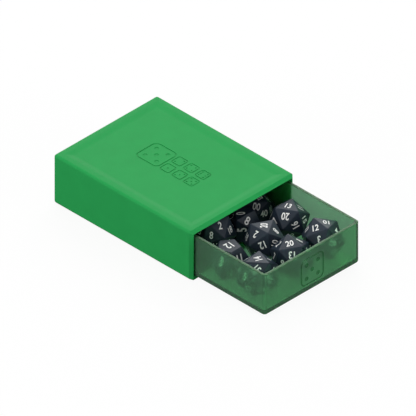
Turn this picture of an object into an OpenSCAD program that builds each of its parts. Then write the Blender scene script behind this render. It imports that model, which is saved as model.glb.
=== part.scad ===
// Slide-out storage chest for a set of role-playing dice: a closed sleeve, a see-through
// drawer tray that slides out of its mouth, and the dice that lie in the tray.
// Origin at the centre of the sleeve's underside, +Z up, the tray opens toward -Y.

/* [Dice] */
// Twenty-sided die, across its flats; the other dice of the set follow it
die_size = 20.4; // [17:0.1:25]
// Room left free round each die in the tray
die_room = 3.4; // [3:0.1:6]
// Space under a die that lies on the tray floor
die_seat = 0.1; // [0.05:0.05:0.3]
// How far the points of the ten-, eight- and twenty-sided dice are blunted
point_blunt = 0.3; // [0.1:0.1:0.8]

/* [Tray] */
// Side, front and back walls of the tray
tray_wall = 1.8; // [1.2:0.1:2.4]
// Floor of the tray
tray_floor = 2.4; // [1.6:0.1:4]
// Height of the rim over the top of the largest die
rim_over = 4.5; // [3:0.1:9]
// Length of the tray beyond its four rows of dice
tray_spare = 6.1; // [0:0.1:20]
// Outer rounding of the tray's upright corners
tray_round = 2.4; // [1:0.1:4]
// Outer rounding of the tray's bottom edges
foot_round = 1.4; // [0.8:0.1:3]
// How far the tray stands out of the mouth
tray_out = 54.4; // [0:0.1:90]

/* [Sleeve] */
// Side walls and back wall of the sleeve
sleeve_wall = 2.3; // [1.6:0.1:4]
// Top wall of the sleeve
sleeve_top = 2; // [1.6:0.1:4]
// Bottom wall of the sleeve
sleeve_floor = 1.5; // [1:0.1:3]
// Rounding of the sleeve's long edges and back edges
sleeve_round = 1.7; // [1:0.1:4]
// Rounding inside the sleeve
cavity_round = 0.8; // [0.4:0.1:1.6]
// Bevel along the outside of the mouth, on its top and its sides
mouth_bevel = 1.8; // [0.4:0.1:3]
// Flat land that is always left between that bevel and the inside of the sleeve
mouth_land = 0.2; // [0.1:0.1:0.6]
// Flat margin round the shallow field on the top
field_margin = 3.8; // [2:0.1:8]
// Width of the slope that leads down into the field
field_slope = 4.9; // [1:0.1:8]
// Depth of the field
field_depth = 0.5; // [0.2:0.1:0.8]

/* [Fit] */
// Running gap on each side of the tray
gap_side = 0.95; // [0.4:0.05:2]
// Running gap under the tray
gap_under = 0.15; // [0.1:0.05:0.4]
// Gap over the rim of the tray
gap_over = 1.65; // [0.8:0.05:3]
// Gap behind the tray when it is shut flush with the mouth
gap_back = 1.1; // [0.1:0.1:2]

/* [Marks] */
// Large engraved die face on the top and on the front of the tray
mark_size = 18; // [12:0.5:20]
// Small engraved die faces on the top
small_mark = 7.4; // [5:0.1:8]
// Distance from one small die face to the next
small_pitch = 9.2; // [8.2:0.1:11]
// Width of an engraved line on the large die face
mark_line = 0.9; // [0.5:0.1:1.5]
// Width of an engraved line on a small die face
small_line = 0.6; // [0.4:0.1:0.9]
// Depth of the engraving
mark_depth = 0.3; // [0.1:0.1:0.6]

/* [Hidden] */
over = 1;          // how far a cutting shape runs past what it cuts
$fn = 96;

columns = 3;
rows = 4;
cell = die_size + die_room;

inner_w = columns * cell;
inner_l = rows * cell + tray_spare;
inner_h = die_size + rim_over;
tray_w = inner_w + 2 * tray_wall;
tray_l = inner_l + 2 * tray_wall;
tray_h = inner_h + tray_floor;
inner_round = max(tray_round - tray_wall, tray_wall / 2);

sleeve_w = tray_w + 2 * (gap_side + sleeve_wall);
sleeve_l = tray_l + gap_back + sleeve_wall;
cavity_h = gap_under + tray_h + gap_over;
sleeve_h = sleeve_floor + cavity_h + sleeve_top;

mouth_y = -sleeve_l / 2;
tray_front_y = mouth_y - tray_out;
tray_z = sleeve_floor + gap_under;
floor_z = tray_z + tray_floor;

// Sizes of the other dice of the set, as shares of the twenty-sided one: all across the
// flats but the four-sided one, which is given by its height
d12_share = 0.91;
d10_share = 0.69;
d8_share = 0.68;
d6_share = 0.78;
d4_share = 0.76;

// Where each die lies, in cells of the tray: faces of the die, cells from the tray's left
// wall, cells from its front wall, and how far the die is turned, in degrees. Then how far
// it leans, about X and about Y, and how high that lifts it, as a share of the largest die:
// the third die is wedged against the wall and the second leans on it
place_shares = [
    [20, 0.51, 0.73, 40, 0, 0, 0],
    [20, 1.51, 0.63, 53, 4, -11, 0.055],
    [20, 2.51, 0.60, 52, -4, -27, 0.09],
    [20, 1.56, 1.58, 2, 0, 0, 0],
    [20, 2.53, 1.74, 30, 0, 0, 0],
    [20, 1.03, 2.68, 72, 0, 0, 0],
    [12, 0.48, 1.66, 20, 0, 0, 0],
    [10, 1.79, 2.58, 27, 0, 0, 0],
    [10, 2.54, 2.74, 96, 0, 0, 0],
    [8, 0.46, 3.70, 25, 0, 0, 0],
    [6, 1.24, 3.74, 4, 0, 0, 0],
    [4, 2.10, 3.68, 60, 0, 0, 0],
];

// Directions of the faces of each kind of die, as tilt from the top face and bearing
tilt_d20_near = acos(sqrt(5) / 3);
tilt_third = acos(1 / 3);
spread_d20 = atan(sqrt(3 / 5));
tilt_d12 = acos(1 / sqrt(5));
tilt_d10 = 45;

// Tilt of the points of two kinds of die, from the top face
point_d20_high = acos(sqrt((5 + 2 * sqrt(5)) / 15));
point_d20_low = acos(sqrt((5 - 2 * sqrt(5)) / 15));
point_d8 = acos(sqrt(1 / 3));

// A plate between two opposite faces of a die
module face_pair(across, tilt, bearing) {
    rotate([0, tilt, bearing]) cube([2 * across, 2 * across, across], center = true);
}

// A twenty-sided die on one face, its points blunt, with one point of its top face toward +X
module d20_shape(across) {
    blunt_across = across / cos(point_d20_high) - 2 * point_blunt;
    intersection() {
        face_pair(across, 0, 0);
        intersection_for (k = [60:120:300]) face_pair(across, tilt_d20_near, k);
        intersection_for (k = [60:120:300]) face_pair(across, tilt_third, k - spread_d20);
        intersection_for (k = [60:120:300]) face_pair(across, tilt_third, k + spread_d20);
        intersection_for (k = [0:120:240]) face_pair(blunt_across, point_d20_high, k);
        intersection_for (k = [60:120:300]) face_pair(blunt_across, point_d20_low, k);
    }
}

// A twelve-sided die on one face
module d12_shape(across) {
    intersection() {
        face_pair(across, 0, 0);
        intersection_for (k = [36:72:324]) face_pair(across, tilt_d12, k);
    }
}

// A ten-sided die with two blunt points, rolled onto one of its kite faces
module d10_shape(across) {
    blunt_across = across / cos(tilt_d10) - 2 * point_blunt;
    rotate([0, -tilt_d10, 0]) intersection() {
        intersection_for (k = [0:72:288]) face_pair(across, tilt_d10, k);
        face_pair(blunt_across, 0, 0);
    }
}

// An eight-sided die on one face, its points blunt
module d8_shape(across) {
    blunt_across = across / cos(point_d8) - 2 * point_blunt;
    intersection() {
        face_pair(across, 0, 0);
        intersection_for (k = [60:120:300]) face_pair(across, tilt_third, k);
        intersection_for (k = [0:120:240]) face_pair(blunt_across, point_d8, k);
    }
}

// A four-sided die on one face, its middle a quarter of its height above that face
module d4_shape(height) {
    rise = height / 4;
    intersection() {
        translate([0, 0, height - rise]) cube([2 * height, 2 * height, 2 * height], center = true);
        intersection_for (k = [60:120:300])
            rotate([0, tilt_third, k])
                translate([0, 0, rise - 2 * height]) cube(4 * height, center = true);
    }
}

// Height of a die's middle over what it lies on
function rest_rise(faces) =
    faces == 20 ? die_size / 2 :
    faces == 12 ? die_size * d12_share / 2 :
    faces == 10 ? die_size * d10_share / 2 :
    faces == 8 ? die_size * d8_share / 2 :
    faces == 6 ? die_size * d6_share / 2 :
    die_size * d4_share / 4;

module die_shape(faces) {
    if (faces == 20) d20_shape(die_size);
    if (faces == 12) d12_shape(die_size * d12_share);
    if (faces == 10) d10_shape(die_size * d10_share);
    if (faces == 8) d8_shape(die_size * d8_share);
    if (faces == 6) cube(die_size * d6_share, center = true);
    if (faces == 4) d4_shape(die_size * d4_share);
}

// The die of one line of the table, where it lies in the tray
module placed_die(line) {
    die = place_shares[line];
    color([0.14, 0.16, 0.19])
        translate([die[1] * cell - inner_w / 2,
                   tray_front_y + tray_wall + die[2] * cell,
                   floor_z + die_seat + rest_rise(die[0]) + die[6] * die_size])
            rotate([die[4], die[5], 0]) rotate([0, 0, die[3]]) die_shape(die[0]);
}

// A rectangle with round corners, about the origin
module rounded_rect(w, h, r) {
    square([w - 2 * r, h], center = true);
    square([w, h - 2 * r], center = true);
    for (x = [-1, 1], y = [-1, 1])
        translate([x * (w / 2 - r), y * (h / 2 - r)]) circle(r);
}

// A block from z = 0 up, with round upright corners and round bottom edges
module tub(w, l, h, r, foot) {
    past = h + 2 * foot;
    intersection() {
        linear_extrude(h) rounded_rect(w, l, r);
        translate([0, l / 2, past / 2]) rotate([90, 0, 0])
            linear_extrude(l) rounded_rect(w, past, foot);
        translate([-w / 2, 0, past / 2]) rotate([90, 0, 90])
            linear_extrude(w) rounded_rect(l, past, foot);
    }
}

// Places of the spots on a die face, as shares of the face from its middle
far_share = 0.25;
function spot_shares(n) = concat(
    n % 2 == 1 ? [[0, 0]] : [],
    n > 1 ? [[-far_share, far_share], [far_share, -far_share]] : [],
    n > 3 ? [[far_share, far_share], [-far_share, -far_share]] : [],
    n > 5 ? [[0, far_share], [0, -far_share]] : []);
spot_share = 0.075;
corner_share = 0.2;

// The flat outline of a die face with its spots
module die_mark(size, line, spots) {
    difference() {
        rounded_rect(size, size, size * corner_share);
        rounded_rect(size - 2 * line, size - 2 * line, size * corner_share - line);
    }
    for (p = spot_shares(spots)) translate(p * size) circle(size * spot_share);
}

// The group of marks along the middle of the top: one large, then two lines of three
module top_marks() {
    group_l = mark_size + 3 * small_pitch;
    translate([0, group_l / 2 - mark_size / 2]) die_mark(mark_size, mark_line, 5);
    for (k = [0:2], side = [-1, 1])
        translate([side * small_pitch / 2, group_l / 2 - mark_size - (k + 0.5) * small_pitch])
            die_mark(small_mark, small_line, 2 * k + (side > 0 ? 2 : 1));
}

// The space that the shallow field takes away, its sides sloping in
module field_pocket() {
    wide = [sleeve_w, sleeve_l] / 2 - [field_margin, field_margin];
    narrow = wide - [field_slope, field_slope];
    intersection() {
        translate([0, wide[1], 0]) rotate([90, 0, 0]) linear_extrude(2 * wide[1])
            polygon([[-wide[0], over], [-wide[0], 0], [-narrow[0], -field_depth],
                     [narrow[0], -field_depth], [wide[0], 0], [wide[0], over]]);
        translate([-wide[0], 0, 0]) rotate([90, 0, 90]) linear_extrude(2 * wide[0])
            polygon([[-wide[1], over], [-wide[1], 0], [-narrow[1], -field_depth],
                     [narrow[1], -field_depth], [wide[1], 0], [wide[1], over]]);
    }
}

// The sleeve's outside: square at the mouth, round along its edges and at its back
module sleeve_outside() {
    past = 2 * sleeve_round;
    intersection() {
        translate([0, sleeve_l / 2, sleeve_h / 2]) rotate([90, 0, 0])
            linear_extrude(sleeve_l) rounded_rect(sleeve_w, sleeve_h, sleeve_round);
        translate([0, -past / 2, 0]) linear_extrude(sleeve_h)
            rounded_rect(sleeve_w, sleeve_l + past, sleeve_round);
        translate([-sleeve_w / 2, -past / 2, sleeve_h / 2]) rotate([90, 0, 90])
            linear_extrude(sleeve_w) rounded_rect(sleeve_l + past, sleeve_h, sleeve_round);
    }
}

// The bevel's cutters along the upper and the two upright outer edges of the mouth
module bevel_cutters() {
    bevel = min(mouth_bevel, sleeve_top - mouth_land, sleeve_wall - mouth_land);
    side = bevel * sqrt(2);
    translate([0, mouth_y, sleeve_h]) rotate([45, 0, 0])
        cube([sleeve_w + 2 * over, side, side], center = true);
    for (x = [-1, 1]) translate([x * sleeve_w / 2, mouth_y, sleeve_h / 2]) rotate([0, 0, 45])
        cube([side, side, sleeve_h + 2 * over], center = true);
}

module sleeve() {
    cavity_w = tray_w + 2 * gap_side;
    cavity_l = tray_l + gap_back;
    color([0.25, 0.65, 0.38]) difference() {
        sleeve_outside();
        translate([0, mouth_y + cavity_l, sleeve_floor + cavity_h / 2]) rotate([90, 0, 0])
            linear_extrude(cavity_l + over) rounded_rect(cavity_w, cavity_h, cavity_round);
        bevel_cutters();
        translate([0, 0, sleeve_h]) field_pocket();
        translate([0, 0, sleeve_h - field_depth - mark_depth])
            linear_extrude(mark_depth + over) top_marks();
    }
}

module drawer_tray() {
    color([0.26, 0.5, 0.34, 0.6]) difference() {
        translate([0, tray_front_y + tray_l / 2, tray_z])
            tub(tray_w, tray_l, tray_h, tray_round, foot_round);
        translate([0, tray_front_y + tray_l / 2, floor_z])
            tub(inner_w, inner_l, inner_h + over, inner_round, inner_round);
        translate([0, tray_front_y + mark_depth, tray_z + tray_h / 2]) rotate([90, 0, 0])
            linear_extrude(mark_depth + over) die_mark(mark_size, mark_line, 5);
    }
}

module d20_first() { placed_die(0); }
module d20_second() { placed_die(1); }
module d20_third() { placed_die(2); }
module d20_fourth() { placed_die(3); }
module d20_fifth() { placed_die(4); }
module d20_sixth() { placed_die(5); }
module d12_first() { placed_die(6); }
module d10_units() { placed_die(7); }
module d10_tens() { placed_die(8); }
module d8_first() { placed_die(9); }
module d6_first() { placed_die(10); }
module d4_first() { placed_die(11); }

sleeve();
drawer_tray();
d20_first();
d20_second();
d20_third();
d20_fourth();
d20_fifth();
d20_sixth();
d12_first();
d10_units();
d10_tens();
d8_first();
d6_first();
d4_first();
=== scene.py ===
# %% [markdown]
# # A dice chest with a drawer
# A green sleeve with a closed back stands on a pale table. A frosted drawer tray is pulled half
# way out of its mouth, and a set of charcoal dice lies in the tray. The solids, their sizes and
# the sliding joint come from a CAD model. This script gives them their looks: it rebuilds the two
# mouldings with soft edges, numbers the dice, and sets materials, light and camera.

# %% Load the CAD model as a fixed frame
import math

import bmesh
import bpy
from mathutils import Matrix, Vector


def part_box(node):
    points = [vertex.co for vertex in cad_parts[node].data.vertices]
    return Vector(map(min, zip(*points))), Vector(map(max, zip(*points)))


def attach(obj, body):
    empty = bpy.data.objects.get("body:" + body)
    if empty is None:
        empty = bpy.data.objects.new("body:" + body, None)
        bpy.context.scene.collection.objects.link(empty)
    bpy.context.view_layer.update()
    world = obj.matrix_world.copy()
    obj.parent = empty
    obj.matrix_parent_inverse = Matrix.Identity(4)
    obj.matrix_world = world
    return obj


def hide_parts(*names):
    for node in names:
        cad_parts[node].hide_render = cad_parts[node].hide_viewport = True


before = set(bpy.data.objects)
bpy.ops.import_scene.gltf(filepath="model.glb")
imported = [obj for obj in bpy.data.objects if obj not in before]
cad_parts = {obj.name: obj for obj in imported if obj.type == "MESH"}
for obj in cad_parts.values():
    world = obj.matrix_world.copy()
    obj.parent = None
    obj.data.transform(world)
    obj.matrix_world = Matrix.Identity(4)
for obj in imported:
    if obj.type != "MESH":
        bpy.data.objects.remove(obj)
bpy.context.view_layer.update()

# %% [markdown]
# ## Sizes
# Every length in this script is written in millimetres and turned into metres by one factor,
# so the numbers read as they would on a drawing. The two mouldings take their outside sizes
# from the boxes of the CAD nodes. Only what such a box can't tell, such as a wall, is written
# here. A box is a pair of corners, the lowest and the highest one.

# %% Sizes
MM = 0.001
DOWN, UP = 0, 1

SLEEVE_SIDE = 2.3 * MM
SLEEVE_ROOF = 2.0 * MM
SLEEVE_FLOOR = 1.5 * MM
SLEEVE_ROUND = 1.7 * MM
CAVITY_ROUND = 0.8 * MM
LIP_BEVEL = 1.8 * MM
GAP_BACK = 1.1 * MM
TRAY_WALL = 1.8 * MM
TRAY_FLOOR = 2.4 * MM
TRAY_ROUND = 2.4 * MM
TRAY_FOOT = 1.4 * MM
TRAY_INNER_ROUND = 0.9 * MM


def half_sizes(box):
    """Half the width, the length and the height of a box."""
    return [(high - low) / 2 for low, high in zip(box[DOWN], box[UP])]


def middle_of(box):
    """The place in the middle of a box."""
    return [(high + low) / 2 for low, high in zip(box[DOWN], box[UP])]


sleeve_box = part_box("sleeve")
tray_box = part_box("drawer_tray")
for label, box in (("sleeve", sleeve_box), ("tray", tray_box)):
    print(label, "mm:", [round(2 * half / MM, 1) for half in half_sizes(box)])

# %% [markdown]
# ## Skins made of rings
# Both mouldings are hollow boxes with round corners. A box like that can be cut from a block
# with Booleans and then bevelled, but the bevels meet badly at the corners. Here each skin is
# a stack of rings instead: a ring is a rectangle with round corners, every ring has the same
# number of points, and neighbouring rings are joined by four-sided faces. The stack runs over
# the outside, round the lip and down the inside, so walls and roundings come out even.

# %% A rounded rectangle as a list of points
ARC_STEPS = 8


def rounded_ring(half_w, half_h, radius, stops=()):
    """Points (across, up) round a rectangle, anticlockwise from its lower left corner.

    The lower and the upper side get an extra point at each of the stops across.
    """
    radius = min(radius, half_w, half_h)
    lower_side = [(x, -half_h) for x in stops]
    upper_side = [(x, half_h) for x in reversed(stops)]
    corners = ((-1, -1, 180, lower_side), (1, -1, 270, []), (1, 1, 0, upper_side), (-1, 1, 90, []))
    ring = []
    for side, level, start, points_after in corners:
        x, y = side * (half_w - radius), level * (half_h - radius)
        for i in range(ARC_STEPS + 1):
            turn = math.radians(start + 90 * i / ARC_STEPS)
            ring.append((x + radius * math.cos(turn), y + radius * math.sin(turn)))
        ring += points_after
    return ring


def fillet(radius, steps=ARC_STEPS):
    """(step back, step in) pairs of a quarter round, from the flat face to the side."""
    turns = [math.radians(90 * k / steps) for k in range(steps + 1)]
    return [(radius * (1 - math.cos(t)), radius * (1 - math.sin(t))) for t in turns]


print("points in a plain ring:", len(rounded_ring(1, 1, 0.1)))
print("fillet of 2 mm:", [(round(back, 2), round(inset, 2)) for back, inset in fillet(2, 3)])

# %% [markdown]
# A new object isn't in the scene until it is linked to a collection. Two helpers do that for
# every piece, lamp and camera below.

# %% Put new meshes into the scene


def add_object(name, data):
    """A new object in the scene that holds the data."""
    obj = bpy.data.objects.new(name, data)
    bpy.context.scene.collection.objects.link(obj)
    return obj


def add_mesh(name, bm):
    """A new object with the mesh that bm holds; bm is used up."""
    mesh = bpy.data.meshes.new(name)
    bm.to_mesh(mesh)
    bm.free()
    return add_object(name, mesh)


# %% [markdown]
# A skin is made in bmesh, which lets a script add points and faces one by one. Where a ring's
# corner has no radius its points fall together, so points that lie closer than a hair are
# merged, and all faces are turned to look outwards.

# %% Join rings into a closed skin
SAME_POINT = 0.002 * MM


def skin(name, rings):
    """A mesh object from rings of 3D points, with a cap on its first and last ring."""
    bm = bmesh.new()
    rows = [[bm.verts.new(p) for p in ring] for ring in rings]
    for below, above in zip(rows, rows[1:]):
        for i in range(len(below)):
            j = (i + 1) % len(below)
            bm.faces.new((below[i], below[j], above[j], above[i]))
    bm.faces.new(reversed(rows[0]))
    bm.faces.new(rows[-1])
    bmesh.ops.remove_doubles(bm, verts=bm.verts, dist=SAME_POINT)
    bmesh.ops.dissolve_degenerate(bm, edges=bm.edges, dist=SAME_POINT)
    bmesh.ops.recalc_face_normals(bm, faces=bm.faces)
    return add_mesh(name, bm)


print("points closer than", round(SAME_POINT / MM, 3), "mm become one")

# %% [markdown]
# ## The sleeve
# The real sleeve is one opaque moulding. Its long edges and its closed back are round, its
# mouth has a bevelled lip, and its top has a shallow field whose sides slope in softly. The
# field could be pressed in with a displacement map, but then its edge would depend on how fine
# the mesh is. Here the rings of the sleeve stand upright, run from the back to the mouth and
# into the bay, and carry extra points on top where the field slopes. More rings stand there too.

# %% Where the field slopes
FIELD_MARGIN = 3.8 * MM
FIELD_SLOPE = 4.9 * MM
FIELD_DEPTH = 0.5 * MM
SLOPE_STEPS = 10

sleeve_half_w, sleeve_half_l, sleeve_half_h = half_sizes(sleeve_box)


def slope_stops(half):
    """Places across the field, from -half to half, where its slopes need points."""
    edge = half - FIELD_MARGIN
    one_side = [edge - FIELD_SLOPE * k / SLOPE_STEPS for k in range(SLOPE_STEPS + 1)]
    return sorted([-x for x in one_side] + one_side)


def field_drop(x, y):
    """How far the top lies below its rim at a place on it, with a soft start and end."""
    inside = min(sleeve_half_w - FIELD_MARGIN - abs(x), sleeve_half_l - FIELD_MARGIN - abs(y))
    t = min(max(inside / FIELD_SLOPE, 0), 1)
    return FIELD_DEPTH * t * t * (3 - 2 * t)


half_way = sleeve_half_l - FIELD_MARGIN - FIELD_SLOPE / 2
print("drop half way down the slope, mm:", round(field_drop(0, half_way) / MM, 2))

# %% [markdown]
# The bay is the hollow that the tray slides in. It is as deep as the tray is long, plus a small
# gap, so that the front of the tray ends level with the mouth when it is pushed in.

# %% Rings of the sleeve's outside and of its bay
TINY = 1e-9

mouth_y, back_y = sleeve_box[DOWN].y, sleeve_box[UP].y
sleeve_mid_z = middle_of(sleeve_box)[2]
bay_half_w = sleeve_half_w - SLEEVE_SIDE
bay_low, bay_high = sleeve_box[DOWN].z + SLEEVE_FLOOR, sleeve_box[UP].z - SLEEVE_ROOF
bay_mid_z, bay_half_h = (bay_low + bay_high) / 2, (bay_high - bay_low) / 2
bay_back = mouth_y + tray_box[UP].y - tray_box[DOWN].y + GAP_BACK
stops = slope_stops(sleeve_half_w)


def sleeve_ring(y, inset, foot_inset):
    """An upright ring of the outside, its top side lowered where the field is.

    The sides and the top are set in by inset, and the underside by foot_inset.
    """
    half_h = sleeve_half_h - (inset + foot_inset) / 2
    lift = (foot_inset - inset) / 2
    ring = []
    for x, z in rounded_ring(sleeve_half_w - inset, half_h, SLEEVE_ROUND - inset, stops):
        on_top = z > half_h - TINY and inset < TINY
        drop = field_drop(x, y) if on_top else 0
        ring.append((x, y, sleeve_mid_z + z + lift - drop))
    return ring


def bay_ring(y, grow):
    """An upright ring of the hollow inside."""
    points = rounded_ring(bay_half_w + grow, bay_half_h + grow, CAVITY_ROUND + grow, stops)
    return [(x, y, bay_mid_z + z) for x, z in points]


print("points in a ring of the sleeve:", len(sleeve_ring(0, 0, 0)), "bay mm deep:",
      round((bay_back - mouth_y) / MM, 1))

# %% [markdown]
# The lip is bevelled on its sides and its top, but not on the underside, which stays flat. Both
# edges of the bevel are softened, since a perfectly sharp edge never catches light. Each pair
# below is (back from the mouth, in from the outside) as shares of the softening, measured from
# that edge of the bevel.

# %% Build the sleeve
LIP_SOFT = 0.12 * MM
LIP_STEPS = 3
OUTER_EDGE_SHARES = ((1, 0), (0.3, 0.15), (-0.4, 0.7))
MOUTH_EDGE_SHARES = ((0.7, -0.4), (0.15, 0), (0, 0))

lip_path = [(LIP_BEVEL + back * LIP_SOFT, inset * LIP_SOFT) for back, inset in OUTER_EDGE_SHARES]
lip_path += [(back * LIP_SOFT, LIP_BEVEL + inset * LIP_SOFT) for back, inset in MOUTH_EDGE_SHARES]

rings = [sleeve_ring(back_y - back, inset, inset) for back, inset in fillet(SLEEVE_ROUND)]
rings += [sleeve_ring(y, 0, 0) for y in reversed(slope_stops(sleeve_half_l))]
rings += [sleeve_ring(mouth_y + back, inset, 0) for back, inset in lip_path]
rings += [bay_ring(mouth_y + back, grow) for grow, back in fillet(LIP_SOFT, LIP_STEPS)]
rings += [bay_ring(bay_back, 0)]
sleeve = skin("sleeve_moulding", rings)
print("sleeve faces:", len(sleeve.data.polygons))

# %% [markdown]
# ## The drawer tray
# The tray is a tub with thin walls. Its rings lie flat and climb from the underside, round the
# bottom edge, up the outside, over the rim and down the inside to the floor. A single sheet
# with a Solidify modifier would be quicker, but its corners would come out uneven. Because the
# walls are see-through, the skin must be closed and its walls as thick as the real ones: light
# bends where it goes in and where it comes out.

# %% Build the tray
RIM_ROUND = 0.3 * MM
RIM_STEPS = 4
FLOOR_STEPS = 5

tray_half_w, tray_half_l = half_sizes(tray_box)[:2]
tray_mid_y, tray_mid_z = middle_of(tray_box)[1:]
foot_z, rim_z = tray_box[DOWN].z, tray_box[UP].z
floor_top = foot_z + TRAY_FLOOR


def tray_ring(z, inset, radius):
    """A flat ring of the tray at one height."""
    points = rounded_ring(tray_half_w - inset, tray_half_l - inset, radius)
    return [(x, tray_mid_y + y, z) for x, y in points]


rings = [tray_ring(foot_z + up, inset, TRAY_ROUND - inset) for up, inset in fillet(TRAY_FOOT)]
rim = fillet(RIM_ROUND, RIM_STEPS)
rings += [tray_ring(rim_z - down, inset, TRAY_ROUND - inset) for down, inset in reversed(rim)]
rings += [tray_ring(rim_z - down, TRAY_WALL - inset, TRAY_INNER_ROUND + inset) for down, inset in rim]
rings += [tray_ring(floor_top + up, TRAY_WALL + inset, TRAY_INNER_ROUND - inset)
          for up, inset in reversed(fillet(TRAY_INNER_ROUND, FLOOR_STEPS))]
tray = skin("tray_moulding", rings)
print("tray faces:", len(tray.data.polygons), "floor top mm:", round(floor_top / MM, 2))

# %% [markdown]
# ## Engraved die faces
# The top and the front of the tray carry shallow engraved marks: a large die face with five
# spots, and on the top two lines of three small ones. Engraving could be faked with a bump
# map, but a real groove throws a real shadow. So each mark is drawn as flat outlines, pushed
# to a thin block and cut out of the moulding with a Boolean.

# %% Outlines of a die face
MARK_CORNER_SHARE = 0.2
SPOT_SHARE = 0.075
FAR_SHARE = 0.25
SPOT_POINTS = 24


def spot_places(spots):
    """Places of a die face's spots, as shares of its size."""
    places = [(0, 0)] if spots % 2 else []
    if spots > 1:
        places += [(-FAR_SHARE, FAR_SHARE), (FAR_SHARE, -FAR_SHARE)]
    if spots > 3:
        places += [(FAR_SHARE, FAR_SHARE), (-FAR_SHARE, -FAR_SHARE)]
    if spots > 5:
        places += [(0, FAR_SHARE), (0, -FAR_SHARE)]
    return places


def circle(x, y, radius):
    """Points round a spot."""
    turns = [2 * math.pi * k / SPOT_POINTS for k in range(SPOT_POINTS)]
    return [(x + radius * math.cos(t), y + radius * math.sin(t)) for t in turns]


print("spots of a five:", spot_places(5))

# %% [markdown]
# A cutter is a set of thin closed blocks. It reaches as far above the surface as below it,
# because a Boolean works badly where two faces lie in one plane.

# %% Make a cutter from outlines
MARK_DEPTH = 0.3 * MM


def prism(bm, outline, hole=None):
    """A closed block between an outline and, if there is one, the hole inside it."""
    loops = []
    for points in (outline, hole):
        if points:
            loops.append([[bm.verts.new((x, y, z)) for x, y in points] for z in (-MARK_DEPTH, MARK_DEPTH)])
    count = len(outline)
    for n, (bottom, top) in enumerate(loops):
        for i in range(count):
            j = (i + 1) % count
            side = (bottom[i], bottom[j], top[j], top[i])
            bm.faces.new(side if n == 0 else tuple(reversed(side)))
    if hole:
        (outer_bottom, outer_top), (inner_bottom, inner_top) = loops
        for i in range(count):
            j = (i + 1) % count
            bm.faces.new((outer_top[i], outer_top[j], inner_top[j], inner_top[i]))
            bm.faces.new((outer_bottom[j], outer_bottom[i], inner_bottom[i], inner_bottom[j]))
    else:
        bottom, top = loops[0]
        bm.faces.new(top)
        bm.faces.new(tuple(reversed(bottom)))


def die_face_cutter(name, marks):
    """A cutter for several die faces: (place, size, line, spots) each."""
    bm = bmesh.new()
    for (cx, cy), size, line, spots in marks:
        half, radius = size / 2, size * MARK_CORNER_SHARE
        outer = [(cx + x, cy + y) for x, y in rounded_ring(half, half, radius)]
        inner = [(cx + x, cy + y) for x, y in rounded_ring(half - line, half - line, radius - line)]
        prism(bm, outer, inner)
        for px, py in spot_places(spots):
            prism(bm, circle(cx + px * size, cy + py * size, size * SPOT_SHARE))
    bmesh.ops.recalc_face_normals(bm, faces=bm.faces)
    return add_mesh(name, bm)


print("grooves mm deep:", round(MARK_DEPTH / MM, 2))

# %% [markdown]
# The cutter of the top lies flat on the bottom of the field, and the cutter of the front stands
# upright on the tray's front wall. Once cut, the result is written back into the mesh, so that
# later steps can look at its faces.

# %% Cut the marks
MARK_SIZE = 18 * MM
MARK_LINE = 0.9 * MM
MARK_SPOTS = 5
SMALL_MARK = 7.4 * MM
SMALL_PITCH = 9.2 * MM
SMALL_LINE = 0.6 * MM
SMALL_LINES, SMALL_PER_LINE = 2, 3


def bake_modifiers(obj):
    """Puts the result of obj's modifiers into its mesh."""
    bpy.context.view_layer.update()
    result = bpy.data.meshes.new_from_object(obj.evaluated_get(bpy.context.evaluated_depsgraph_get()))
    old = obj.data
    obj.modifiers.clear()
    obj.data = result
    result.name = obj.name
    bpy.data.meshes.remove(old)


def engrave(obj, cutter):
    """Cuts cutter out of obj and removes it."""
    cut = obj.modifiers.new("engrave", "BOOLEAN")
    cut.operation, cut.solver, cut.object = "DIFFERENCE", "EXACT", cutter
    bake_modifiers(obj)
    used = cutter.data
    bpy.data.objects.remove(cutter)
    bpy.data.meshes.remove(used)


group_half_l = (MARK_SIZE + SMALL_PER_LINE * SMALL_PITCH) / 2
top_marks = [((0, group_half_l - MARK_SIZE / 2), MARK_SIZE, MARK_LINE, MARK_SPOTS)]
for k in range(SMALL_PER_LINE):
    for line, side in enumerate((-1, 1)):
        place = (side * SMALL_PITCH / 2, group_half_l - MARK_SIZE - (k + 0.5) * SMALL_PITCH)
        top_marks.append((place, SMALL_MARK, SMALL_LINE, SMALL_LINES * k + line + 1))
top_cutter = die_face_cutter("top_marks", top_marks)
top_cutter.matrix_world = Matrix.Translation((0, 0, sleeve_box[UP].z - FIELD_DEPTH))
engrave(sleeve, top_cutter)

front_cutter = die_face_cutter("front_mark", [((0, 0), MARK_SIZE, MARK_LINE, MARK_SPOTS)])
upright = Matrix.Rotation(math.radians(90), 4, "X")
front_cutter.matrix_world = Matrix.Translation((0, tray_box[DOWN].y, tray_mid_z)) @ upright
engrave(tray, front_cutter)
print("marks cut on the top:", [spots for place, size, line, spots in top_marks])

# %% [markdown]
# ## Soft edges
# A mould never leaves a perfectly sharp edge, and the thin line of light along a rounded one
# is what makes a model look real. A Bevel modifier rounds whatever is still sharp, such as the
# brims of the grooves. Weighted normals then keep the large flat faces looking flat.

# %% Soften every sharp edge
EDGE_SOFT = 0.12 * MM
EDGE_SEGMENTS = 2
SHARP_ANGLE = 50


def soften(obj):
    """Rounds the edges of obj that are sharp, and shades the rest smooth."""
    bevel = obj.modifiers.new("soft edges", "BEVEL")
    bevel.width, bevel.segments = EDGE_SOFT, EDGE_SEGMENTS
    bevel.limit_method, bevel.angle_limit = "ANGLE", math.radians(SHARP_ANGLE)
    bake_modifiers(obj)
    for polygon in obj.data.polygons:
        polygon.use_smooth = True
    normals = obj.modifiers.new("even shading", "WEIGHTED_NORMAL")
    normals.keep_sharp = True


for moulding in (sleeve, tray):
    soften(moulding)
    print(moulding.name, "faces:", len(moulding.data.polygons))

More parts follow.
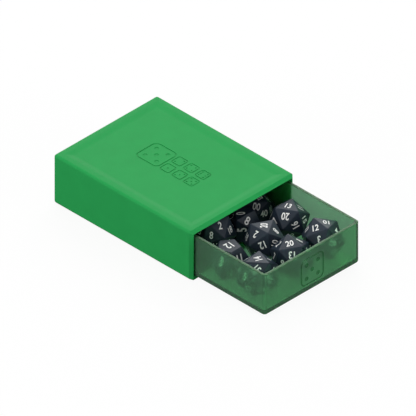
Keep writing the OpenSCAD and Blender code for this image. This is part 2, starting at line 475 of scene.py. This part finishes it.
# %% [markdown]
# ## The two skins of the tray
# The mould was polished for the outside of the tray and left matt for the inside, so its edges
# are crisp while the dice behind the wall blur. Two materials could do that, but the tray is
# one piece and takes its finish from one slot. So each face of the mesh carries the number 1
# if it belongs to the inside, and another such number marks the floor of the engraved groove,
# which gets painted shade. The material reads both.

# %% Tell the inside of the tray from its outside
IN_WALL_SHARE = 0.6
FLOOR_SLACK = 0.1 * MM
GROOVE_NEAR_SHARE, GROOVE_FAR_SHARE = 0.6, 1.1
FACING_FRONT_Y = -0.9


def tell_faces(obj, name, belongs):
    """Gives each face of obj a number, 1 where belongs(face) holds, else 0, and counts the ones."""
    layer = obj.data.attributes.new(name, "FLOAT", "FACE")
    chosen = [face.index for face in obj.data.polygons if belongs(face)]
    for index in chosen:
        layer.data[index].value = 1.0
    return len(chosen)


def in_the_tub(face):
    """Whether a face lies on the rim, or past the middle of the walls and not below the floor."""
    x, y, z = face.center
    past_sides = abs(x) < tray_half_w - IN_WALL_SHARE * TRAY_WALL
    past_ends = abs(y - tray_mid_y) < tray_half_l - IN_WALL_SHARE * TRAY_WALL
    above_floor = z > floor_top - FLOOR_SLACK
    return z > rim_z - RIM_ROUND or (past_sides and past_ends and above_floor)


def in_the_groove(face):
    """Whether a face is part of the flat floor of the groove in the tray's front."""
    share = (face.center.y - tray_box[DOWN].y) / MARK_DEPTH
    return GROOVE_NEAR_SHARE < share < GROOVE_FAR_SHARE and face.normal.y < FACING_FRONT_Y


print("inside faces:", tell_faces(tray, "inside", in_the_tub))
print("groove faces:", tell_faces(tray, "groove", in_the_groove))

# %% [markdown]
# ## Plastics
# Three plastics show. The sleeve is an opaque satin green, the tray is a green that is
# see-through with a frosted skin, and the dice are near-black charcoal with pale numerals.
# All are made from the Principled shader. Moulded plastic is never perfectly even: a soft
# noise in its roughness and a slight one in its colour break up the highlights, and a fine
# bump stands for the texture that the mould leaves. Object coordinates keep both in place on
# a piece when it moves.

# %% A plastic that is slightly uneven
ROUGH_SPAN = 0.05


def plastic(name, colour, roughness, grain, shade_span=0.06):
    """A plastic whose colour and roughness vary a little; grain is the size of the variation."""
    material = bpy.data.materials.new(name)
    material.use_nodes = True
    nodes, links = material.node_tree.nodes, material.node_tree.links
    shader = nodes["Principled BSDF"]
    place = nodes.new("ShaderNodeTexCoord")
    cloud = nodes.new("ShaderNodeTexNoise")
    cloud.inputs["Scale"].default_value = 1 / grain
    cloud.inputs["Detail"].default_value = 3
    links.new(place.outputs["Object"], cloud.inputs["Vector"])
    ramp = nodes.new("ShaderNodeMapRange")
    ramp.inputs["To Min"].default_value = roughness - ROUGH_SPAN
    ramp.inputs["To Max"].default_value = roughness + ROUGH_SPAN
    links.new(cloud.outputs["Fac"], ramp.inputs["Value"])
    links.new(ramp.outputs["Result"], shader.inputs["Roughness"])
    shade = nodes.new("ShaderNodeMix")
    shade.data_type = "RGBA"
    shade.inputs["A"].default_value = [c * (1 - shade_span) for c in colour] + [1]
    shade.inputs["B"].default_value = [c * (1 + shade_span) for c in colour] + [1]
    links.new(cloud.outputs["Fac"], shade.inputs["Factor"])
    links.new(shade.outputs["Result"], shader.inputs["Base Color"])
    return material


def shader_of(material):
    """The Principled shader of a material."""
    return material.node_tree.nodes["Principled BSDF"]


def speckle_bump(material, size, height):
    """Adds the fine texture of a moulded skin, as bump."""
    nodes, links = material.node_tree.nodes, material.node_tree.links
    place = nodes.new("ShaderNodeTexCoord")
    fine = nodes.new("ShaderNodeTexNoise")
    fine.inputs["Scale"].default_value = 1 / size
    fine.inputs["Detail"].default_value = 2
    links.new(place.outputs["Object"], fine.inputs["Vector"])
    bump = nodes.new("ShaderNodeBump")
    bump.inputs["Distance"].default_value = height
    bump.inputs["Strength"].default_value = 0.5
    links.new(fine.outputs["Fac"], bump.inputs["Height"])
    links.new(bump.outputs["Normal"], shader_of(material).inputs["Normal"])


print("roughness varies by", ROUGH_SPAN, "each way")

# %% [markdown]
# The sleeve and the dice hardly mirror anything in a soft room, so their specular level is well
# below the usual 0.5. The numerals are matt paint.

# %% Opaque plastics
sleeve_green = plastic("satin_green", colour=(0.024, 0.345, 0.085), roughness=0.3, grain=9 * MM)
shader_of(sleeve_green).inputs["Specular IOR Level"].default_value = 0.035
speckle_bump(sleeve_green, size=0.5 * MM, height=0.02 * MM)

dice_charcoal = plastic("charcoal_resin", colour=(0.014, 0.023, 0.037), roughness=0.36, grain=5 * MM,
                        shade_span=0.2)
shader_of(dice_charcoal).inputs["Specular IOR Level"].default_value = 0.22
speckle_bump(dice_charcoal, size=0.5 * MM, height=0.04 * MM)

numeral_white = plastic("numeral_white", colour=(0.88, 0.88, 0.86), roughness=0.5, grain=2 * MM)

for material in (sleeve_green, dice_charcoal, numeral_white):
    print(material.name, "nodes:", len(material.node_tree.nodes))

# %% [markdown]
# The tray, the table and the background mix several shaders, by shares that nodes work out. Each
# such node is made by one of the helpers below, so that the materials themselves read like a
# list of what they mix.

# %% Helpers for shader nodes


def feed(tree, value, socket):
    """Gives a socket its value: the output of another node, or a plain number."""
    if isinstance(value, bpy.types.NodeSocket):
        tree.links.new(value, socket)
    else:
        socket.default_value = value


def maths(tree, operation, first, second):
    """The result of a Math node for two values."""
    node = tree.nodes.new("ShaderNodeMath")
    node.operation = operation
    feed(tree, first, node.inputs[0])
    feed(tree, second, node.inputs[1])
    return node.outputs["Value"]


def mix_shaders(tree, share, first, second):
    """A mix of two shaders or backgrounds: only the first at share 0, only the second at 1."""
    node = tree.nodes.new("ShaderNodeMixShader")
    feed(tree, share, node.inputs["Fac"])
    feed(tree, first, node.inputs[1])
    feed(tree, second, node.inputs[2])
    return node.outputs["Shader"]


def by_face(tree, name, without, within):
    """A value that is one number on plain faces, and another on those that tell_faces chose."""
    number = tree.nodes.new("ShaderNodeAttribute")
    number.attribute_name = name
    spread = tree.nodes.new("ShaderNodeMapRange")
    spread.inputs["To Min"].default_value = without
    spread.inputs["To Max"].default_value = within
    feed(tree, number.outputs["Fac"], spread.inputs["Value"])
    return spread.outputs["Result"]


print("helpers for shader nodes are ready")

# %% [markdown]
# The tray's plastic lets light through, bends it and swallows red, so thick places such as the
# edges look darker than a flat wall. Transmission does the first two, and volume absorption
# the last, which a tinted surface can't. The frosted look of the skin is a second shader laid
# over the clear one in a small share. In the groove that share is large and its colour a dark
# green: painted shade that stands in for the shadow inside the engraved line.

# %% The tray's frosted plastic
# FROST_GROOVE is the share of dark frost on the groove's floor, which paints its shade.
FROST_OUTSIDE, FROST_INSIDE, FROST_GROOVE = 0.16, 0.03, 0.6
ROUGH_OUTSIDE, ROUGH_INSIDE = 0.07, 0.31

tray_green = plastic("frosted_green", colour=(0.28, 0.6, 0.38), roughness=0.35, grain=12 * MM)
speckle_bump(tray_green, size=0.6 * MM, height=0.02 * MM)
tree = tray_green.node_tree
frost_side = shader_of(tray_green)
clear_side = tree.nodes.new("ShaderNodeBsdfPrincipled")
clear_side.inputs["Base Color"].default_value = (0.8, 0.95, 0.85, 1)
clear_side.inputs["IOR"].default_value = 1.45
clear_side.inputs["Specular IOR Level"].default_value = 0.17
clear_side.inputs["Transmission Weight"].default_value = 1.0
feed(tree, by_face(tree, "inside", ROUGH_OUTSIDE, ROUGH_INSIDE), clear_side.inputs["Roughness"])
for side in (clear_side, frost_side):
    side.inputs["Specular Tint"].default_value = (0.5, 0.85, 0.5, 1)

plain_colour = frost_side.inputs["Base Color"].links[0].from_socket
# Painted shade: on the groove's floor the frost takes a dark green, standing in for the shadow inside the
# engraved line.
groove_painted_shade = tree.nodes.new("ShaderNodeMix")
groove_painted_shade.data_type = "RGBA"
groove_painted_shade.inputs["B"].default_value = (0.015, 0.11, 0.035, 1)
feed(tree, by_face(tree, "groove", 0, 1), groove_painted_shade.inputs["Factor"])
feed(tree, plain_colour, groove_painted_shade.inputs["A"])
feed(tree, groove_painted_shade.outputs["Result"], frost_side.inputs["Base Color"])

skin_frost = by_face(tree, "inside", FROST_OUTSIDE, FROST_INSIDE)
frost = maths(tree, "MAXIMUM", skin_frost, by_face(tree, "groove", 0, FROST_GROOVE))
surface = mix_shaders(tree, frost, clear_side.outputs["BSDF"], frost_side.outputs["BSDF"])
feed(tree, surface, tree.nodes["Material Output"].inputs["Surface"])

tint = tree.nodes.new("ShaderNodeVolumeAbsorption")
tint.inputs["Color"].default_value = (0.42, 0.87, 0.57, 1)
tint.inputs["Density"].default_value = 0.6 / MM
feed(tree, tint.outputs["Volume"], tree.nodes["Material Output"].inputs["Volume"])
print(tray_green.name, "nodes:", len(tree.nodes))

# %% [markdown]
# ## Dressing the mouldings
# Each skin gets its plastic, rides on its body of the CAD model, so that it moves with the
# joint, and takes the place of the plain CAD solid.

# %% Dress the mouldings
for obj, node, body, material, slot in (
    (sleeve, "sleeve", "sleeve", sleeve_green, "sleeve"),
    (tray, "drawer_tray", "drawer", tray_green, "tray"),
):
    obj.data.materials.clear()
    obj.data.materials.append(material)
    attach(obj, body)
    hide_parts(node)
print("mouldings dressed")

# %% [markdown]
# ## Dice
# The CAD solids of the dice are exact, so they stay, with rounded edges from a Bevel modifier.
# The imported meshes have a split at every edge, and a Weld modifier closes those first, or
# the Bevel would find nothing to round.

# %% Round the dice
DIE_EDGE = 0.35 * MM
DIE_EDGE_SEGMENTS = 3
DIE_EDGE_ANGLE = 25
DIE_SEAM = 0.01 * MM

dice = sorted(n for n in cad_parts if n.startswith("d") and n[1].isdigit())
for name in dice:
    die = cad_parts[name]
    die.data.materials.clear()
    die.data.materials.append(dice_charcoal)
    weld = die.modifiers.new("weld", "WELD")
    weld.merge_threshold = DIE_SEAM
    edge = die.modifiers.new("round edges", "BEVEL")
    edge.width, edge.segments = DIE_EDGE, DIE_EDGE_SEGMENTS
    edge.limit_method, edge.angle_limit = "ANGLE", math.radians(DIE_EDGE_ANGLE)
    edge.harden_normals = True
print("dice:", dice)

# %% [markdown]
# ## Numerals
# Real dice have their numerals cut in and filled with paint. Cutting twenty numbers into each
# die would take long and hardly show at this size, so each numeral here is text in the built-in
# font, turned to a mesh and laid on its face. To find the faces, the triangles of a die are
# grouped by the way they face: two belong together if the cosine between their normals is
# nearly 1. The foot of the die's middle on a face is the numeral's place. The imported mesh
# repeats a corner for each face there, and rounded places tell which corners are the same.

# %% Find the faces of a die
SAME_FACE = 0.995
PARALLEL = 0.99
DECIMALS = 2


def die_faces(name):
    """(normal, foot, reach) of each face of a die, reach being the room round the foot."""
    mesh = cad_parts[name].data
    spots = {tuple(round(c / MM, DECIMALS) for c in v.co): v.co.copy() for v in mesh.vertices}
    middle = sum(spots.values(), Vector()) / len(spots)
    found = []
    for polygon in mesh.polygons:
        if not any(polygon.normal.dot(normal) > SAME_FACE for normal, _ in found):
            found.append((polygon.normal.copy(), mesh.vertices[polygon.vertices[0]].co.copy()))
    faces = []
    for normal, point in found:
        foot = middle + normal * (point - middle).dot(normal)
        rooms = [(p - foot).dot(n) / math.sqrt(1 - n.dot(normal) ** 2)
                 for n, p in found if abs(n.dot(normal)) < PARALLEL]
        faces.append((normal, foot, min(rooms)))
    return faces


for name in ("d20_first", "d12_first", "d10_units"):
    faces = die_faces(name)
    print(name, len(faces), "faces, reach mm", [round(reach / MM, 2) for _, _, reach in faces[:3]])

# %% [markdown]
# A number is drawn once, scaled to a height of one and kept, because most numbers come back on
# several dice. It is laid on a face with its own way up. "Spin" turns it anticlockwise from
# upright, upright being the steepest way up the face. It floats a hair above the face, or the
# two surfaces would flicker through each other.

# %% Draw a numeral
INK_RISE = 0.03 * MM
INK_WEIGHT = 0.02
INK_CURVE_STEPS = 4
NARROW_SHARE = 0.77
LEVEL = 0.02
glyphs = {}


def glyph(text):
    """Vertices and faces of a number, one unit high, about its middle."""
    if text not in glyphs:
        curve = bpy.data.curves.new("ink", "FONT")
        curve.body = text
        curve.align_x, curve.align_y = "CENTER", "CENTER"
        curve.offset = INK_WEIGHT
        curve.resolution_u = INK_CURVE_STEPS
        writer = add_object("ink", curve)
        mesh = bpy.data.meshes.new_from_object(writer.evaluated_get(bpy.context.evaluated_depsgraph_get()))
        points = [v.co.copy() for v in mesh.vertices]
        low = Vector(map(min, zip(*points)))
        high = Vector(map(max, zip(*points)))
        middle, height = (low + high) / 2, high.y - low.y
        glyphs[text] = ([(p - middle) / height for p in points], [list(f.vertices) for f in mesh.polygons])
        bpy.data.objects.remove(writer)
        bpy.data.curves.remove(curve)
        bpy.data.meshes.remove(mesh)
    return glyphs[text]


def face_axes(normal, spin, uphill=None):
    """Up and right of a number on a face; without a given uphill, it's the steepest way up."""
    if uphill is None:
        uphill = Vector((0, 0, 1)) - normal * normal.z
    if uphill.length < LEVEL:
        uphill = Vector((0, 1, 0))
    up = Matrix.Rotation(math.radians(spin), 3, normal) @ uphill.normalized()
    return up, up.cross(normal)


def lay_number(bm, text, normal, foot, spin, height, uphill=None):
    """Adds a number to bm, on the face with that normal and foot."""
    up, right = face_axes(normal, spin, uphill)
    points, polygons = glyph(text)
    corners = [bm.verts.new(foot + normal * INK_RISE + (right * p.x * NARROW_SHARE + up * p.y) * height)
               for p in points]
    for polygon in polygons:
        bm.faces.new([corners[i] for i in polygon])


print("points in an 8:", len(glyph("8")[0]))

# %% [markdown]
# A six and a nine read the same upside down, so dice put a short line under them.

# %% Draw the line under a six or a nine
LINE_DROP_SHARE = 0.66
LINE_HALF_WIDTH_SHARE = 0.2
LINE_HALF_HEIGHT_SHARE = 0.045
UNDERLINED = ("6", "9")


def lay_underline(bm, normal, foot, spin, height):
    """Adds a short line below a number to bm."""
    up, right = face_axes(normal, spin)
    foot = foot + normal * INK_RISE - up * height * LINE_DROP_SHARE
    across, along = right * height * LINE_HALF_WIDTH_SHARE, up * height * LINE_HALF_HEIGHT_SHARE
    signs = ((-1, -1), (1, -1), (1, 1), (-1, 1))
    bm.faces.new([bm.verts.new(foot + across * side + along * level) for side, level in signs])


print("underlined:", UNDERLINED)

# %% [markdown]
# ## What the dice show
# The table below says what each die shows. A line is (number, tilt, bearing,
# spin): tilt is how far the face leans from level, and bearing is where it faces, 0 along +X
# and 90 along +Y. Faces that are not in the table get the numbers that are left, opposite
# numbers first.

# %% What the dice show
SHOWN = {
    "d20_first": [("14", 0, 0, 68), ("15", 42, 220, -45), ("1", 42, 340, -165), ("7", 70, 302, 0)],
    "d20_second": [("20", 12, 200, 36), ("8", 32, 345, 137), ("13", 52, 228, 179), ("2", 44, 126, 15)],
    "d20_third": [("12", 27, 172, 54), ("3", 60, 214, -168), ("10", 15, 351, 59), ("4", 51, 303, -64),
                  ("17", 59, 130, 1), ("16", 70, 259, -13)],
    "d20_fourth": [("20", 0, 0, 40), ("2", 42, 182, 178), ("8", 42, 302, 180), ("12", 70, 220, -156),
                   ("18", 70, 144, 0), ("10", 70, 264, 60)],
    "d20_fifth": [("13", 0, 0, -66), ("20", 42, 210, 182), ("16", 70, 248, 106), ("15", 70, 292, -100),
                  ("17", 70, 172, 83), ("11", 42, 330, 180)],
    "d20_sixth": [("2", 42, 252, -10), ("18", 70, 290, 0), ("3", 70, 170, 0)],
    "d12_first": [("12", 0, 0, 175), ("11", 63, 272, -8)],
    "d10_units": [("8", 49, 270, -61), ("0", 0, 0, 55), ("5", 84, 232, 90)],
    "d10_tens": [("00", 49, 213, -4), ("10", 84, 301, 0)],
}
print("numbers chosen:", sum(len(lines) for lines in SHOWN.values()))

# %% [markdown]
# Most dice count from one. The two ten-sided ones are a pair that is thrown together: one
# counts the tens, from 00 to 90, and the other the units, from 0 to 9. Numbers on opposite
# faces always add up to the same sum.

# %% The numbers that a die carries
FACE_COUNT = {"d20": 20, "d12": 12, "d10": 10, "d8": 8, "d6": 6, "d4": 4}


def kind_of(name):
    """The kind of a die, such as d20, from its node's name."""
    return name.split("_")[0]


def die_numbers(name):
    """The numbers that a die carries, in order."""
    count = FACE_COUNT[kind_of(name)]
    if name == "d10_tens":
        return [f"{n}0" for n in range(count)]
    if name == "d10_units":
        return [str(n) for n in range(count)]
    return [str(n + 1) for n in range(count)]


def opposite_number(text, name):
    """The number on the far side of a die.

    The two add up to one more than the highest number, but to nine or ninety on the ten-sided
    dice, which start from nought.
    """
    if name == "d10_tens":
        return f"{90 - int(text):02d}"
    if name == "d10_units":
        return str(9 - int(text))
    return str(FACE_COUNT[kind_of(name)] + 1 - int(text))


print("opposite a 20:", opposite_number("20", "d20_first"))
print("opposite a 10 of the tens:", opposite_number("10", "d10_tens"))

# %% [markdown]
# The blunted points of the ten-sided dice are tiny faces of their own, without a number. So
# only the roomiest faces count, as many as the die has numbers.

# %% Share the numbers out over the faces


def share_out(name):
    """(number, face, spin) for every face: first what shows, then opposites, then the rest."""
    numbers = die_numbers(name)
    roomiest_first = sorted(die_faces(name), key=lambda face: -face[2])
    faces = roomiest_first[:len(numbers)]
    laid = []

    def give(text, face, spin):
        faces.remove(face)
        numbers.remove(text)
        laid.append((text, face, spin))

    for text, tilt, bearing, spin in SHOWN.get(name, []):
        t, b = math.radians(tilt), math.radians(bearing)
        aim = Vector((math.sin(t) * math.cos(b), math.sin(t) * math.sin(b), math.cos(t)))
        give(text, max(faces, key=lambda face: face[0].dot(aim)), spin)
    while faces:
        for text, face, _ in list(laid):
            behind = [other for other in faces if other[0].dot(face[0]) < -PARALLEL]
            if behind and opposite_number(text, name) in numbers:
                give(opposite_number(text, name), behind[0], 0)
        if faces:
            give(numbers[0], max(faces, key=lambda face: face[0].z), 0)
    return laid


print("the tens die:", [text for text, _, _ in share_out("d10_tens")])

# %% [markdown]
# A four-sided die is different: each face has three numbers, one at each of its corners, and the
# die shows the one that is upright. Each corner is named after the face that it lies across from.

# %% Lay the numbers on the dice
NUMERAL_MM = {"d20": 4.3, "d12": 5.3, "d10_units": 5.4, "d10_tens": 4.2, "d8": 5.0, "d6": 8.0, "d4": 3.6}
UNDERLINED_KINDS = ("d20", "d12", "d10")
CORNER_SHARE = 0.75


def lay_corner_numbers(bm, name, height):
    """Adds the twelve numbers of a four-sided die to bm."""
    roomiest_first = sorted(die_faces(name), key=lambda face: -face[2])
    faces = roomiest_first[:FACE_COUNT["d4"]]
    for i, (normal, foot, reach) in enumerate(faces):
        for j, (other, _, _) in enumerate(faces):
            if i != j:
                corner = -(other - normal * other.dot(normal)).normalized()
                lay_number(bm, str(j + 1), normal, foot + corner * reach * CORNER_SHARE, 0, height, corner)


def lay_face_numbers(bm, name, height):
    """Adds one number on each face of a die to bm."""
    for text, (normal, foot, _), spin in share_out(name):
        lay_number(bm, text, normal, foot, spin, height)
        if text in UNDERLINED and kind_of(name) in UNDERLINED_KINDS:
            lay_underline(bm, normal, foot, spin, height)


for name in dice:
    kind = kind_of(name)
    height = NUMERAL_MM.get(name, NUMERAL_MM.get(kind)) * MM
    lay_numbers = lay_corner_numbers if kind == "d4" else lay_face_numbers
    bm = bmesh.new()
    lay_numbers(bm, name, height)
    ink = add_mesh(name + "_numerals", bm)
    ink.data.materials.append(numeral_white)
    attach(ink, "drawer")
print("numerals laid on", len(dice), "dice")

# %% [markdown]
# ## Table
# The chest stands on a pale table that melts into a white background, as in a catalogue
# picture. A brighter lamp would make the table white too, but it would wash out the chest. So
# the table glows by itself, and fully only for the rays that come straight from the camera.
# Through the tray and mirrored in a piece, the glow shows in a smaller share. For all other
# light the table is a dim surface, which throws hardly any light back on the chest. The Light
# Path node tells the rays apart.

# %% Rays that meet the bright side of a surface


def bright_rays(tree, through_share, mirror_share):
    """1 for what the camera sees straight on, and a share for what it sees through or mirrored."""
    rays = tree.nodes.new("ShaderNodeLightPath")
    through = maths(tree, "MULTIPLY", rays.outputs["Is Transmission Ray"], through_share)
    mirrored = maths(tree, "MULTIPLY", rays.outputs["Is Glossy Ray"], mirror_share)
    straight_or_through = maths(tree, "MAXIMUM", rays.outputs["Is Camera Ray"], through)
    return maths(tree, "MAXIMUM", straight_or_through, mirrored)


print("rays told apart: camera, transmission and glossy")

# %% [markdown]
# The bright side of the table is nearly all glow. The small rest is a matt white surface, and
# that is what the faint shadow of the chest falls on. The table lies a hair lower than the
# underside of the sleeve, or the two would flicker through each other.

# %% Table
TABLE_HALF = 3.0
TABLE_DROP = 0.02 * MM
GLOW_SHARE = 0.92
THROUGH_SHARE, MIRROR_SHARE = 0.3, 0.12

bm = bmesh.new()
bmesh.ops.create_grid(bm, x_segments=1, y_segments=1, size=TABLE_HALF)
table = add_mesh("table", bm)
table.location.z = -TABLE_DROP

pale = bpy.data.materials.new("pale_table")
pale.use_nodes = True
tree = pale.node_tree
matt = shader_of(pale)
matt.inputs["Base Color"].default_value = (0.95, 0.95, 0.95, 1)
matt.inputs["Roughness"].default_value = 0.9
glow = tree.nodes.new("ShaderNodeEmission")
glow.inputs["Strength"].default_value = 1.0
dim = tree.nodes.new("ShaderNodeBsdfDiffuse")
dim.inputs["Color"].default_value = (0.08, 0.08, 0.08, 1)
bright = mix_shaders(tree, GLOW_SHARE, matt.outputs["BSDF"], glow.outputs["Emission"])
seen = bright_rays(tree, THROUGH_SHARE, MIRROR_SHARE)
surface = mix_shaders(tree, seen, dim.outputs["BSDF"], bright)
feed(tree, surface, tree.nodes["Material Output"].inputs["Surface"])
table.data.materials.append(pale)
print("table ready, nodes:", len(tree.nodes))

# %% [markdown]
# ## Background
# A plain studio room is white all round, but as a light a fully white world would flatten the
# chest. So the world is split in the same way as the table: whatever the camera sees of it,
# straight, through the tray or mirrored, is white, and as a light it is less than half as bright.

# %% Background
FILL_STRENGTH = 0.46
world = bpy.data.worlds.new("studio")
bpy.context.scene.world = world
world.use_nodes = True
tree = world.node_tree
fill = tree.nodes["Background"]
fill.inputs["Color"].default_value = (1, 1, 1, 1)
fill.inputs["Strength"].default_value = FILL_STRENGTH
white = tree.nodes.new("ShaderNodeBackground")
white.inputs["Color"].default_value = (1, 1, 1, 1)
white.inputs["Strength"].default_value = 1.0
room = mix_shaders(tree, bright_rays(tree, 1, 1), fill.outputs["Background"], white.outputs["Background"])
feed(tree, room, tree.nodes["World Output"].inputs["Surface"])
print("background ready, nodes:", len(tree.nodes))

# %% [markdown]
# ## Lamps
# Large square area lamps stand for softboxes and give soft shadows and broad highlights. The
# big one stands behind the chest on the right and does most of the work: it lights the top, so
# that the top is the brightest side. A weak one hangs over the chest, and the low ones on the
# left and in front light the two sides that the camera sees. A place is given by its azimuth,
# 0 in front of the drawer and -90 on the left, and its elevation, both in degrees.

# %% Lamps
SCENE_MIDDLE = Vector((-0.26, -26.9, 16.3)) * MM


def look_at_chest(obj, azimuth, elevation, distance):
    """Puts a lamp or a camera on one side of the chest and turns it to the scene's middle."""
    a, e = math.radians(azimuth), math.radians(elevation)
    back = Vector((math.sin(a) * math.cos(e), -math.cos(a) * math.cos(e), math.sin(e)))
    obj.location = SCENE_MIDDLE + back * distance
    obj.rotation_mode = "QUATERNION"
    obj.rotation_quaternion = (-back).to_track_quat("-Z", "Y")


def softbox(name, azimuth, elevation, distance, size, power):
    """A square area lamp that looks at the middle of the scene."""
    lamp = bpy.data.lights.new(name, "AREA")
    lamp.shape, lamp.size, lamp.energy = "SQUARE", size, power
    look_at_chest(add_object(name, lamp), azimuth, elevation, distance)


softbox("top_softbox", azimuth=-60, elevation=80, distance=1.0, size=0.6, power=1.1)
softbox("far_softbox", azimuth=135, elevation=38, distance=1.2, size=1.2, power=9.0)
softbox("left_softbox", azimuth=-100, elevation=9, distance=1.0, size=0.6, power=6.3)
softbox("front_softbox", azimuth=14, elevation=8, distance=1.0, size=0.6, power=4.7)

# %% [markdown]
# ## Camera
# The camera looks down from the front left corner. It is orthographic: parallel edges stay
# parallel, as in a catalogue drawing, and the width of the picture is a real length.

# %% Camera
CAMERA_AZIMUTH, CAMERA_ELEVATION = -45.0, 35.0
CAMERA_DISTANCE = 0.8
PICTURE_SPAN = 231.1 * MM

eye = bpy.data.cameras.new("catalogue_camera")
eye.type, eye.ortho_scale = "ORTHO", PICTURE_SPAN
camera = add_object("catalogue_camera", eye)
look_at_chest(camera, CAMERA_AZIMUTH, CAMERA_ELEVATION, CAMERA_DISTANCE)
bpy.context.scene.camera = camera
bpy.context.scene.view_settings.view_transform = "Standard"
print("camera at", [round(c, 3) for c in camera.location])
